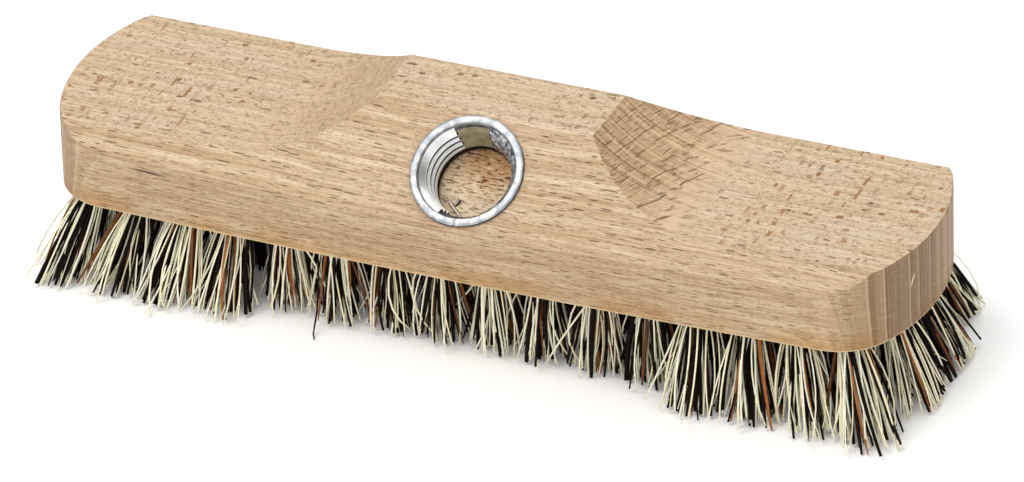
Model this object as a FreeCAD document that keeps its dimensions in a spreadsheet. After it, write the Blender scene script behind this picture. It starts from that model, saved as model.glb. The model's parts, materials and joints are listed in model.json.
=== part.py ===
import FreeCAD, Part
import math
import os

import Sketcher

# Scrubbing-brush head: a beech block with a screw-in handle socket in its front slope and
# four rows of staple-set bristle tufts underneath.
#
# Frame: millimetres, +Z up. The tufts stand on z = 0, the origin is at the middle of the
# footprint, X runs along the block and -Y is the side that takes the handle.

NODE_FOLDER = "parts"
os.makedirs(NODE_FOLDER, exist_ok=True)

Vector = FreeCAD.Vector
UP = Vector(0, 0, 1)

doc = FreeCAD.newDocument("scrubbing_brush_head")


# ---------------------------------------------------------------- driving dimensions

DIMENSIONS = [
    # name, value, meaning
    ("block_length", 220.0, "overall length of the block"),
    ("block_width", 65.0, "width of the block at its middle"),
    ("block_height", 33.0, "underside of the block to its flat top"),
    ("side_height", 14.5, "height of the upright side faces at the middle"),
    ("side_radius", 2700.0, "plan radius of the slightly bowed long sides"),
    ("end_radius", 55.0, "plan radius of the two ends"),
    ("corner_radius", 15.0, "plan radius of the four corners"),
    ("top_width", 20.0, "width of the flat top"),
    ("scoop_radius", 46.5, "radius of the hollowed end scoops"),
    ("scoop_floor", 20.3, "height of the scoop floor over the underside"),
    ("scoop_foot", 59.5, "distance from the middle at which the scoop floor turns flat"),
    ("edge_break", 0.4, "radius of the sanded edges"),
    ("bristle_height", 22.0, "floor to the underside of the block"),
    ("hole_diameter", 6.6, "drilled tuft hole"),
    ("hole_depth", 9.0, "depth of a tuft hole along its axis"),
    ("root_diameter", 6.2, "bundle of fibres inside its hole"),
    ("root_gap", 0.2, "space between the fold of a tuft and the bottom of its hole"),
    ("root_collar", 2.0, "straight part of a tuft just under the block"),
    ("tip_diameter", 10.2, "tuft at the floor, where its fibres have spread"),
    ("outer_row", 23.0, "distance of the outer rows from the centre line"),
    ("inner_row", 7.7, "distance of the inner rows from the centre line"),
    ("outer_pitch", 13.3, "spacing of the upright tufts of the outer rows"),
    ("end_pitch", 12.4, "spacing of the leaning tufts of the outer rows"),
    ("inner_pitch", 18.2, "spacing of the tufts of the inner rows"),
    ("centre_section", 53.0, "half length of the section whose tufts stand upright"),
    ("side_lean", 9.5, "how far the leaning tufts reach out sideways at the floor"),
    ("end_lean", 8.5, "how far the last tufts of a row reach out endways at the floor"),
    ("wire_diameter", 1.0, "wire of the tuft staples"),
    ("wire_clearance", 0.1, "play of the staple wire in its channel"),
    ("staple_span", 5.5, "distance between the legs of a staple"),
    ("staple_crown", 6.0, "depth of the staple crown in its hole"),
    ("staple_reach", 2.4, "length of the staple legs in the wood past the hole"),
    ("stray_diameter", 0.75, "wire of the two staple ends in the socket floor"),
    ("stray_height", 1.1, "how far the higher staple end stands out of the socket floor"),
    ("flange_diameter", 28.0, "rim of the socket, lying on the front slope"),
    ("flange_opening", 23.8, "inner edge of the rim"),
    ("flange_proud", 1.0, "thickness of the rim over the slope"),
    ("flange_round", 0.45, "rounding of the rim"),
    ("lead_in_depth", 1.8, "depth at which the lead-in cone meets the thread"),
    ("thread_crest", 18.8, "bore over the thread crests, the pin that passes"),
    ("thread_root", 20.4, "bore over the thread grooves"),
    ("thread_pitch", 2.15, "distance from one thread crest to the next"),
    ("thread_land", 1.05, "width of a thread crest"),
    ("shell_diameter", 22.0, "outside of the socket shell in the wood"),
    ("shell_depth", 9.0, "depth of the socket shell under the slope"),
    ("bore_depth", 10.6, "depth of the drilled wood bore under the slope"),
]


def make_sheet():
    """Spreadsheet with one row per driving dimension: name, value, meaning."""
    table = doc.addObject("Spreadsheet::Sheet", "dims")
    for row, (name, size, meaning) in enumerate(DIMENSIONS, start=1):
        table.set("A%d" % row, name)
        table.set("B%d" % row, str(size))
        table.set("C%d" % row, meaning)
        table.setAlias("B%d" % row, name)
    doc.recompute()
    return table


sheet = make_sheet()


def size(name):
    """Present value of a driving dimension."""
    return float(sheet.get(name))


def bind(thing, **expressions):
    """Ties properties of an object to expressions over the sheet."""
    for prop, expression in expressions.items():
        thing.setExpression(prop, expression)


SLOPE = math.atan2(
    size("block_height") - size("side_height"),
    (size("block_width") - size("top_width")) / 2,
)


# ---------------------------------------------------------------- small helpers


def origin_plane(body, role):
    """One of the body's own three base planes."""
    for feature in body.Origin.OriginFeatures:
        if feature.Role == role:
            return feature
    raise RuntimeError("no plane %s" % role)


def new_sketch(body, name, role):
    """Empty sketch on a base plane of its own body."""
    sketch = body.newObject("Sketcher::SketchObject", name)
    sketch.AttachmentSupport = (origin_plane(body, role), [""])
    sketch.MapMode = "FlatFace"
    return sketch


def drive(sketch, constraint, expression):
    """Adds a dimension to a sketch and ties it to the sheet."""
    index = sketch.addConstraint(constraint)
    sketch.setExpression("Constraints[%d]" % index, expression)


def draw_polygon(sketch, points):
    """Closed polygon through (across, up, across expression, up expression) corners."""
    count = len(points)
    for index, (across, up, _, _) in enumerate(points):
        after = points[(index + 1) % count]
        sketch.addGeometry(Part.LineSegment(Vector(across, up, 0), Vector(after[0], after[1], 0)))
    for index in range(count):
        sketch.addConstraint(Sketcher.Constraint("Coincident", index, 2, (index + 1) % count, 1))
    for index, (across, up, across_expression, up_expression) in enumerate(points):
        drive(sketch, Sketcher.Constraint("DistanceX", -1, 1, index, 1, across), across_expression)
        drive(sketch, Sketcher.Constraint("DistanceY", -1, 1, index, 1, up), up_expression)


def cylinder(name, frame, low, radius, height, **expressions):
    """Cylinder along the axis of a frame, starting at a distance along it."""
    part = doc.addObject("Part::Cylinder", name)
    part.Radius = radius
    part.Height = height
    part.Placement = frame.multiply(FreeCAD.Placement(UP * low, FreeCAD.Rotation()))
    bind(part, **expressions)
    return part


def fuse(name, shapes):
    """Union of several objects."""
    union = doc.addObject("Part::MultiFuse", name)
    union.Shapes = shapes
    return union


def cut(name, base, tool):
    """Base with the tool taken away."""
    result = doc.addObject("Part::Cut", name)
    result.Base = base
    result.Tool = tool
    return result


def common_name(prefix, number):
    """Node name with a two-digit number."""
    return "%s_%02d" % (prefix, number)


# ---------------------------------------------------------------- wooden block


def circle_crossing(first, first_radius, second, second_radius):
    """Crossing of two plan circles in the +X, -Y quarter."""
    between = second.sub(first)
    apart = between.Length
    along = (first_radius ** 2 - second_radius ** 2 + apart ** 2) / (2 * apart)
    across = math.sqrt(first_radius ** 2 - along ** 2)
    direction = Vector(between).normalize()
    foot = first.add(direction * along)
    crossings = [foot.add(Vector(-direction.y, direction.x, 0) * step) for step in (across, -across)]
    return max(crossings, key=lambda point: point.x - point.y)


def plan_arc(centre, radius, start, end):
    """Arc about a centre from one point to another, anticlockwise."""
    circle = Part.Circle(centre, UP, radius)
    first = math.atan2(start.y - centre.y, start.x - centre.x)
    last = math.atan2(end.y - centre.y, end.x - centre.x)
    return Part.ArcOfCircle(circle, first, last)


def draw_plan(sketch):
    """Outline of the block: two bowed sides and two rounder ends."""
    side_offset = size("side_radius") - size("block_width") / 2
    end_offset = size("block_length") / 2 - size("end_radius")
    corner = circle_crossing(
        Vector(0, side_offset, 0), size("side_radius"), Vector(end_offset, 0, 0), size("end_radius")
    )
    front_right = corner
    back_right = Vector(corner.x, -corner.y, 0)
    back_left = Vector(-corner.x, -corner.y, 0)
    front_left = Vector(-corner.x, corner.y, 0)
    side, end = size("side_radius"), size("end_radius")
    sketch.addGeometry(plan_arc(Vector(0, side_offset, 0), side, front_left, front_right))
    sketch.addGeometry(plan_arc(Vector(end_offset, 0, 0), end, front_right, back_right))
    sketch.addGeometry(plan_arc(Vector(0, -side_offset, 0), side, back_right, back_left))
    sketch.addGeometry(plan_arc(Vector(-end_offset, 0, 0), end, back_left, front_left))
    for index in range(4):
        sketch.addConstraint(Sketcher.Constraint("Coincident", index, 2, (index + 1) % 4, 1))
        across_axis, radius_name = ((-2, "side_radius"), (-1, "end_radius"))[index % 2]
        sketch.addConstraint(Sketcher.Constraint("PointOnObject", index, 3, across_axis))
        drive(sketch, Sketcher.Constraint("Radius", index, size(radius_name)), "dims." + radius_name)
    side_expression = "dims.side_radius - dims.block_width / 2"
    end_expression = "dims.block_length / 2 - dims.end_radius"
    drive(sketch, Sketcher.Constraint("DistanceY", -1, 1, 0, 3, side_offset), side_expression)
    drive(sketch, Sketcher.Constraint("DistanceX", -1, 1, 1, 3, end_offset), end_expression)
    drive(sketch, Sketcher.Constraint("DistanceY", 2, 3, -1, 1, side_offset), side_expression)
    drive(sketch, Sketcher.Constraint("DistanceX", 3, 3, -1, 1, end_offset), end_expression)


def through_pocket(body, name, sketch):
    """Pocket right through the block, both ways from its sketch."""
    pocket = body.newObject("PartDesign::Pocket", name)
    pocket.Profile = sketch
    pocket.Type = "ThroughAll"
    pocket.SideType = "Symmetric"
    doc.recompute()
    return pocket


def mirrored(body, name, feature, role):
    """Mirror image of a feature across a base plane; it becomes the body's tip."""
    mirror = body.newObject("PartDesign::Mirrored", name)
    mirror.Originals = [feature]
    mirror.MirrorPlane = (origin_plane(body, role), [""])
    body.Tip = mirror
    doc.recompute()
    return mirror


def upright_edges(shape):
    """Names of the straight upright edges of a shape."""
    names = []
    for number, edge in enumerate(shape.Edges, start=1):
        ends = [vertex.Point for vertex in edge.Vertexes]
        if len(ends) == 2 and ends[0].sub(ends[1]).cross(UP).Length < 1e-6:
            names.append("Edge%d" % number)
    return names


def make_blank():
    """Shaped block before drilling: plan, four corners, two slopes and two scoops."""
    body = doc.addObject("PartDesign::Body", "block_blank")
    plan = new_sketch(body, "block_plan", "XY_Plane")
    plan.setExpression("AttachmentOffset.Base.z", "dims.bristle_height")
    draw_plan(plan)
    pad = body.newObject("PartDesign::Pad", "block_pad")
    pad.Profile = plan
    bind(pad, Length="dims.block_height")
    doc.recompute()
    corners = body.newObject("PartDesign::Fillet", "block_corners")
    corners.Base = (pad, upright_edges(pad.Shape))
    bind(corners, Radius="dims.corner_radius")
    doc.recompute()

    slope = new_sketch(body, "slope_profile", "YZ_Plane")
    draw_slope(slope)
    slopes = through_pocket(body, "back_slope", slope)
    mirrored(body, "front_slope", slopes, "XZ_Plane")

    scoop = new_sketch(body, "scoop_profile", "XZ_Plane")
    draw_scoop(scoop)
    scoops = through_pocket(body, "right_scoop", scoop)
    shaped = mirrored(body, "left_scoop", scoops, "YZ_Plane")

    sanded = body.newObject("PartDesign::Fillet", "sanded_edges")
    sanded.Base = (shaped, ["Edge%d" % (number + 1) for number in range(len(shaped.Shape.Edges))])
    bind(sanded, Radius="dims.edge_break")
    doc.recompute()
    return body


def draw_slope(sketch):
    """Region above a slope, from the edge of the flat top to past the side face."""
    half_top, half_width = size("top_width") / 2, size("block_width") / 2
    shoulder = size("bristle_height") + size("side_height")
    top = size("bristle_height") + size("block_height")
    spare = size("corner_radius")
    half_top_expression = "dims.top_width / 2"
    half_width_expression = "dims.block_width / 2"
    shoulder_expression = "dims.bristle_height + dims.side_height"
    top_expression = "dims.bristle_height + dims.block_height"
    outer_expression = half_width_expression + " + dims.corner_radius"
    upper_expression = top_expression + " + dims.corner_radius"
    draw_polygon(sketch, [
        (half_top, top, half_top_expression, top_expression),
        (half_width, shoulder, half_width_expression, shoulder_expression),
        (half_width + spare, shoulder, outer_expression, shoulder_expression),
        (half_width + spare, top + spare, outer_expression, upper_expression),
        (half_top, top + spare, half_top_expression, upper_expression),
    ])


def draw_scoop(sketch):
    """Region above a scoop: an arc down from the flat top, then a level floor to the end."""
    foot, floor = size("scoop_foot"), size("bristle_height") + size("scoop_floor")
    radius = size("scoop_radius")
    top = size("bristle_height") + size("block_height") + size("flange_proud")
    end = size("block_length") / 2 + size("flange_proud")
    centre = Vector(foot, floor + radius, 0)
    brow = Vector(foot - math.sqrt(radius ** 2 - (centre.y - top) ** 2), top, 0)
    toe = Vector(foot, floor, 0)
    outer_low, outer_high = Vector(end, floor, 0), Vector(end, top, 0)
    sketch.addGeometry(plan_arc(centre, radius, brow, toe))
    sketch.addGeometry(Part.LineSegment(toe, outer_low))
    sketch.addGeometry(Part.LineSegment(outer_low, outer_high))
    sketch.addGeometry(Part.LineSegment(outer_high, brow))
    for first, second in ((0, 1), (1, 2), (2, 3)):
        sketch.addConstraint(Sketcher.Constraint("Coincident", first, 2, second, 1))
    sketch.addConstraint(Sketcher.Constraint("Coincident", 3, 2, 0, 1))
    sketch.addConstraint(Sketcher.Constraint("Horizontal", 1))
    sketch.addConstraint(Sketcher.Constraint("Vertical", 2))
    sketch.addConstraint(Sketcher.Constraint("Horizontal", 3))
    sketch.addConstraint(Sketcher.Constraint("Vertical", 0, 3, 0, 2))
    drive(sketch, Sketcher.Constraint("Radius", 0, radius), "dims.scoop_radius")
    drive(sketch, Sketcher.Constraint("DistanceX", -1, 1, 0, 2, foot), "dims.scoop_foot")
    drive(sketch, Sketcher.Constraint("DistanceY", -1, 1, 0, 2, floor),
          "dims.bristle_height + dims.scoop_floor")
    drive(sketch, Sketcher.Constraint("DistanceX", -1, 1, 2, 2, end),
          "dims.block_length / 2 + dims.flange_proud")
    drive(sketch, Sketcher.Constraint("DistanceY", -1, 1, 2, 2, top),
          "dims.bristle_height + dims.block_height + dims.flange_proud")


# ---------------------------------------------------------------- handle socket


def socket_frame():
    """Frame of the socket: origin on the front slope, +Z along its axis out of the wood."""
    middle = (size("block_width") + size("top_width")) / 4
    height = size("bristle_height") + (size("side_height") + size("block_height")) / 2
    outward = Vector(0, -math.sin(SLOPE), math.cos(SLOPE))
    return FreeCAD.Placement(Vector(0, -middle, height), FreeCAD.Rotation(UP, outward))


def draw_shell(sketch):
    """Half section of the pressed steel shell: bore, lead-in cone, rim and outside."""
    crest, crest_expression = size("thread_crest") / 2, "dims.thread_crest / 2"
    opening, opening_expression = size("flange_opening") / 2, "dims.flange_opening / 2"
    rim, rim_expression = size("flange_diameter") / 2, "dims.flange_diameter / 2"
    shell, shell_expression = size("shell_diameter") / 2, "dims.shell_diameter / 2"
    proud, lead, depth = size("flange_proud"), size("lead_in_depth"), size("shell_depth")
    flare_expression = "dims.flange_opening / 2 + dims.flange_round"
    draw_polygon(sketch, [
        (crest, -depth, crest_expression, "-dims.shell_depth"),
        (shell, -depth, shell_expression, "-dims.shell_depth"),
        (shell, -lead, shell_expression, "-dims.lead_in_depth"),
        (opening + size("flange_round"), 0, flare_expression, "0"),
        (rim, 0, rim_expression, "0"),
        (rim, proud, rim_expression, "dims.flange_proud"),
        (opening, proud, opening_expression, "dims.flange_proud"),
        (crest, -lead, crest_expression, "-dims.lead_in_depth"),
    ])


def draw_groove(sketch):
    """Section of the thread groove, a trapezium that starts inside the bore."""
    crest, crest_expression = size("thread_crest") / 2, "dims.thread_crest / 2"
    root, root_expression = size("thread_root") / 2, "dims.thread_root / 2"
    mouth = size("thread_pitch") - size("thread_land")
    depth, inside = size("shell_depth"), size("wire_diameter")
    low = "-dims.shell_depth + dims.thread_land"
    high = "-dims.shell_depth + dims.thread_pitch"
    inner = crest_expression + " - dims.wire_diameter"
    flank = " (dims.thread_pitch - dims.thread_land) / 4"
    bottom = size("thread_land") - depth
    draw_polygon(sketch, [
        (crest - inside, bottom, inner, low),
        (crest, bottom, crest_expression, low),
        (root, bottom + mouth / 4, root_expression, low + " +" + flank),
        (root, bottom + 3 * mouth / 4, root_expression, high + " -" + flank),
        (crest, bottom + mouth, crest_expression, high),
        (crest - inside, bottom + mouth, inner, high),
    ])


def make_socket():
    """Threaded steel socket, revolved and then cut by its helical groove."""
    body = doc.addObject("PartDesign::Body", "threaded_socket")
    section = new_sketch(body, "shell_section", "XZ_Plane")
    draw_shell(section)
    shell = body.newObject("PartDesign::Revolution", "shell_turn")
    shell.Profile = section
    shell.ReferenceAxis = (section, ["V_Axis"])
    shell.Angle = 360
    doc.recompute()

    groove = new_sketch(body, "groove_section", "XZ_Plane")
    draw_groove(groove)
    thread = body.newObject("PartDesign::SubtractiveHelix", "thread_groove")
    thread.Profile = groove
    thread.ReferenceAxis = (groove, ["V_Axis"])
    thread.Mode = "pitch-height-angle"
    bind(
        thread,
        Pitch="dims.thread_pitch",
        Height="dims.shell_depth - dims.lead_in_depth - dims.thread_pitch",
    )
    doc.recompute()
    rim_edges = [
        "Edge%d" % number
        for number, edge in enumerate(thread.Shape.Edges, start=1)
        if all(abs(vertex.Point.z - size("flange_proud")) < 1e-6 for vertex in edge.Vertexes)
    ]
    rounded = body.newObject("PartDesign::Fillet", "rim_rounding")
    rounded.Base = (thread, rim_edges)
    bind(rounded, Radius="dims.flange_round")
    doc.recompute()
    body.Placement = socket_frame()
    return body


def bore_tools():
    """Drilled bore and countersink that take the socket shell."""
    frame = socket_frame()
    bore = cylinder(
        "bore_cut", frame, -size("bore_depth"), 1, 1,
        Radius="dims.shell_diameter / 2", Height="dims.bore_depth",
    )
    sink = doc.addObject("Part::Cone", "countersink_cut")
    bind(
        sink,
        Radius1="dims.shell_diameter / 2",
        Radius2="dims.flange_opening / 2 + dims.flange_round",
        Height="dims.lead_in_depth",
    )
    sink.Placement = frame.multiply(
        FreeCAD.Placement(UP * -size("lead_in_depth"), FreeCAD.Rotation())
    )
    return [bore, sink]


# ---------------------------------------------------------------- tufts and staples


def outer_stations():
    """Places along the block of the tufts of an outer row."""
    pitch, end_pitch = size("outer_pitch"), size("end_pitch")
    upright = [(index + 0.5) * pitch for index in range(4)]
    leaning = [upright[-1] + (pitch + end_pitch) / 2 + index * end_pitch for index in range(4)]
    half = upright + leaning
    return [-place for place in reversed(half)] + half


def inner_stations():
    """Places along the block of the tufts of an inner row."""
    half = [(index + 0.5) * size("inner_pitch") for index in range(6)]
    return [-place for place in reversed(half)] + half


def lean(along, across):
    """Shift of a tuft's tip from straight below its root."""
    past = abs(along) - size("centre_section")
    if past <= 0:
        return Vector(0, 0, 0)
    last = outer_stations()[-1] - size("centre_section")
    endways = math.copysign(size("end_lean") * past / last, along)
    sideways = size("side_lean") * across / size("outer_row")
    return Vector(endways, sideways, 0)


def tuft_frame(along, across):
    """Frame of a tuft: origin at its hole's mouth, +Z into the wood along its lean."""
    root = Vector(along, across, size("bristle_height"))
    tip = Vector(along, across, 0).add(lean(along, across))
    return FreeCAD.Placement(root, FreeCAD.Rotation(UP, root.sub(tip)))


def staple_wires(prefix, frame, wire, reach):
    """Crown and two legs of a staple, as separate rods."""
    half_span, crown_depth = size("staple_span") / 2, size("staple_crown")
    along_crown = FreeCAD.Rotation(Vector(0, 1, 0), 90)
    across = frame.multiply(FreeCAD.Placement(Vector(-half_span, 0, crown_depth), along_crown))
    crown = cylinder(prefix + "_crown", across, 0, 1, 1, Radius=wire, Height="dims.staple_span")
    legs = []
    for side, word in ((-1, "left"), (1, "right")):
        foot = FreeCAD.Placement(Vector(side * half_span, 0, crown_depth), FreeCAD.Rotation())
        name = "%s_%s_leg" % (prefix, word)
        legs.append(cylinder(name, frame.multiply(foot), 0, 1, 1, Radius=wire, Height=reach))
    return [crown] + legs


def make_tuft(name, along, across, floor):
    """One tuft with its hole cut and its staple: (tuft, tools for the block, staple)."""
    frame = tuft_frame(along, across)
    slant = size("bristle_height") / frame.Rotation.multVec(UP).z
    collar = size("root_collar")
    root = cylinder(
        name + "_root", frame, -collar, 1, 1,
        Radius="dims.root_diameter / 2",
        Height="dims.root_collar + dims.hole_depth - dims.root_gap",
    )
    spread = doc.addObject("Part::Cone", name + "_spread")
    overrun = size("root_collar")
    growth = (size("tip_diameter") - size("root_diameter")) / 2 / (slant - collar)
    spread.Radius1 = size("tip_diameter") / 2 + growth * overrun
    bind(spread, Radius2="dims.root_diameter / 2")
    spread.Height = slant - collar + overrun
    spread.Placement = frame.multiply(
        FreeCAD.Placement(UP * -(slant + overrun), FreeCAD.Rotation())
    )
    bundle = fuse(name + "_bundle", [root, spread])
    trimmed = cut(name + "_trimmed", bundle, floor)

    channel_wire = "dims.wire_diameter / 2 + dims.wire_clearance / 2"
    to_hole_end = "dims.hole_depth - dims.staple_crown"
    to_wire_end = to_hole_end + " + dims.staple_reach"
    channel = fuse(name + "_channel", staple_wires(name + "_slot", frame, channel_wire, to_hole_end))
    tuft = cut(name, trimmed, channel)
    tuft.Label = name

    hole = cylinder(
        name + "_hole", frame, -collar, 1, 1,
        Radius="dims.hole_diameter / 2", Height="dims.hole_depth + dims.root_collar",
    )
    wires = staple_wires(name + "_wire", frame, "dims.wire_diameter / 2", to_wire_end)
    staple = fuse(name + "_staple", wires)
    return tuft, [hole] + wires[1:], staple


def stray_wires():
    """Two staple ends that stand out of the floor of the socket bore."""
    floor, height = -size("bore_depth"), size("stray_height")
    ends = (
        # foot inside the wood and free end of each wire, in the socket's frame
        (Vector(-0.3, -9.8, floor - 0.5 * height), Vector(-5.9, -5.0, floor + height)),
        (Vector(-5.2, -6.6, floor - 0.7 * height), Vector(-3.4, -4.3, floor + 0.9 * height)),
    )
    wires = []
    for number, (foot, free) in enumerate(ends, start=1):
        direction = free.sub(foot)
        local = FreeCAD.Placement(foot, FreeCAD.Rotation(UP, direction))
        wires.append(cylinder(
            common_name("stray_wire", number), socket_frame().multiply(local), 0, 1, direction.Length,
            Radius="dims.stray_diameter / 2",
        ))
    return wires


# ---------------------------------------------------------------- assembly


def make_rows():
    """All tufts: (tufts, tools for the block, staples)."""
    length, width, thickness = 2 * size("block_length"), 2 * size("block_width"), size("bristle_height")
    floor = doc.addObject("Part::Box", "floor_trim")
    floor.Length = length
    floor.Width = width
    floor.Height = thickness
    floor.Placement.Base = Vector(-length / 2, -width / 2, -thickness)
    rows = (
        ("tuft_front", -size("outer_row"), outer_stations()),
        ("tuft_inner_front", -size("inner_row"), inner_stations()),
        ("tuft_inner_back", size("inner_row"), inner_stations()),
        ("tuft_back", size("outer_row"), outer_stations()),
    )
    tufts, tools, staples = [], [], []
    for prefix, across, stations in rows:
        for number, along in enumerate(stations, start=1):
            tuft, cuts, staple = make_tuft(common_name(prefix, number), along, across, floor)
            tufts.append(tuft)
            tools.extend(cuts)
            staples.append(staple)
    return tufts, tools, staples


def build():
    """Makes every sub-part and gives the list of them."""
    blank = make_blank()
    socket = make_socket()
    tufts, tools, staples = make_rows()
    strays = stray_wires()
    block = cut("block", blank, fuse("block_drilling", bore_tools() + tools + strays))
    block.Label = "block"
    anchors = doc.addObject("Part::Compound", "staples")
    anchors.Links = staples + strays
    anchors.Label = "staples"
    doc.recompute()
    return [block, socket, anchors] + tufts


def check(parts):
    """Stops if any object failed or any sub-part is not a valid solid."""
    for thing in doc.Objects:
        if "Invalid" in thing.State or "Error" in thing.State:
            raise RuntimeError("%s failed: %s" % (thing.Name, thing.State))
    for part in parts:
        shape = part.Shape
        if shape.isNull() or not shape.isValid() or not shape.Solids:
            raise RuntimeError("%s has no valid shape" % part.Label)


def export(parts):
    """Writes each sub-part to its own file."""
    for part in parts:
        part.Shape.exportStep("%s/%s.step" % (NODE_FOLDER, part.Label))


sub_parts = build()
check(sub_parts)
export(sub_parts)
for part in sub_parts:
    box = part.Shape.BoundBox
    print(part.Label, len(part.Shape.Solids), round(part.Shape.Volume), box)
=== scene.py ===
"""Looks of the scrubbing-brush head: beech block, zinc socket and tufts of loose plant fibre."""

import json
import math
import random

import bpy
from mathutils import Matrix, Vector, noise


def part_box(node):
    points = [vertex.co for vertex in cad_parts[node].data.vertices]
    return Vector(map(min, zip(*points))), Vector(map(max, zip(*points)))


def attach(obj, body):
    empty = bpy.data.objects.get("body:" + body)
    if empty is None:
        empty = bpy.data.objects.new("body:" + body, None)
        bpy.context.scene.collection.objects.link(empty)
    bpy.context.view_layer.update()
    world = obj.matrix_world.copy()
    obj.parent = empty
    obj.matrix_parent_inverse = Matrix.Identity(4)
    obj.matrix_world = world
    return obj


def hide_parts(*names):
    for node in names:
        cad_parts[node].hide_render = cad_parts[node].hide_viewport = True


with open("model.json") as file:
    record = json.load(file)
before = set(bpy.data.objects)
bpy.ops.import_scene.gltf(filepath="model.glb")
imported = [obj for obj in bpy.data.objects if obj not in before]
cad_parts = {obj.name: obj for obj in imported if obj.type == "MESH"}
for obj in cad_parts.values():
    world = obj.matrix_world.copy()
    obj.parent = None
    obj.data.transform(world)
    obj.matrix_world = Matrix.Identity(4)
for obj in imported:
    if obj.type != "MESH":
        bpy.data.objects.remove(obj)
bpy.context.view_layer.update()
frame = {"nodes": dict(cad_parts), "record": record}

MM = 0.001
SEED = 20
random.seed(SEED)

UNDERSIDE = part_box("block")[0].z


# ---------------------------------------------------------------- camera, floor and light

CAMERA_AZIMUTH = math.radians(23.8)
CAMERA_ELEVATION = math.radians(31.2)
CAMERA_ROLL = math.radians(-1.72)
CAMERA_DISTANCE = 2.41
CAMERA_LENS = 357.0
SENSOR_WIDTH = 36.0
AIM_RIGHT = 1.45 * MM
AIM_UP = -6.3 * MM

STAGE_HALF = 3.0
WORLD_STRENGTH = 0.55
SOFT_BOXES = (
    # name, place, side length, power, colour
    ("key", (-0.3, -0.32, 1.0), 0.7, 6.8, (1.0, 0.99, 0.975)),
    ("front_fill", (-0.1, -1.1, 0.32), 0.7, 2.3, (1.0, 1.0, 1.0)),
    ("back_top", (0.0, 0.75, 1.0), 0.9, 5.4, (1.0, 1.0, 1.0)),
    ("right_fill", (1.0, -0.6, 0.42), 0.6, 2.2, (1.0, 1.0, 1.0)),
)


def camera_axes():
    """Right, up and backward directions of the camera."""
    turn, tilt = CAMERA_AZIMUTH, CAMERA_ELEVATION
    right = Vector((math.cos(turn), math.sin(turn), 0))
    forward = Vector((-math.sin(turn), math.cos(turn), 0))
    up = forward * math.sin(tilt) + Vector((0, 0, math.cos(tilt)))
    back = forward * -math.cos(tilt) + Vector((0, 0, math.sin(tilt)))
    return right, up, back


def make_camera():
    """Long-lens camera, aimed at a point near the middle of the block's underside."""
    right, up, back = camera_axes()
    aim = Vector((0, 0, UNDERSIDE)) + right * AIM_RIGHT + up * AIM_UP
    rolled_right = right * math.cos(CAMERA_ROLL) + up * math.sin(CAMERA_ROLL)
    rolled_up = up * math.cos(CAMERA_ROLL) - right * math.sin(CAMERA_ROLL)
    data = bpy.data.cameras.new("camera")
    data.lens = CAMERA_LENS
    data.sensor_width = SENSOR_WIDTH
    data.clip_start, data.clip_end = 0.1, 20
    camera = bpy.data.objects.new("camera", data)
    bpy.context.scene.collection.objects.link(camera)
    place = aim + back * CAMERA_DISTANCE
    turned = Matrix((rolled_right, rolled_up, back)).transposed()
    camera.matrix_world = Matrix.Translation(place) @ turned.to_4x4()
    bpy.context.scene.camera = camera


def make_light(name, place, size, power, colour):
    """Square soft box that faces the middle of the brush."""
    data = bpy.data.lights.new(name, "AREA")
    data.size = size
    data.energy = power
    data.color = colour
    light = bpy.data.objects.new(name, data)
    bpy.context.scene.collection.objects.link(light)
    light.location = place
    towards = Vector((0, 0, UNDERSIDE)) - light.location
    light.rotation_euler = towards.to_track_quat("-Z", "Y").to_euler()


def make_stage():
    """Pale floor, pale world and four soft boxes."""
    scene = bpy.context.scene
    scene.view_settings.view_transform = "Standard"
    world = bpy.data.worlds.new("studio")
    world.use_nodes = True
    background = world.node_tree.nodes["Background"]
    background.inputs["Color"].default_value = (1, 1, 1, 1)
    background.inputs["Strength"].default_value = WORLD_STRENGTH
    scene.world = world
    for settings in SOFT_BOXES:
        make_light(*settings)

    half = STAGE_HALF
    corners = [(-half, -half, 0), (half, -half, 0), (half, half, 0), (-half, half, 0)]
    floor = make_piece("floor", corners, [(0, 1, 2, 3)], [floor_material()], smooth=[False])


# ---------------------------------------------------------------- mesh helper


def make_piece(name, points, faces, materials, slots=None, smooth=None):
    """New mesh object; slots gives the material of each face, and smooth says how it is shaded."""
    mesh = bpy.data.meshes.new(name)
    mesh.from_pydata([tuple(point) for point in points], [], faces)
    for material in materials:
        mesh.materials.append(material)
    mesh.polygons.foreach_set("material_index", slots or [0] * len(faces))
    mesh.polygons.foreach_set("use_smooth", smooth or [True] * len(faces))
    mesh.update()
    piece = bpy.data.objects.new(name, mesh)
    bpy.context.scene.collection.objects.link(piece)
    return piece


# ---------------------------------------------------------------- node helpers


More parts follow.
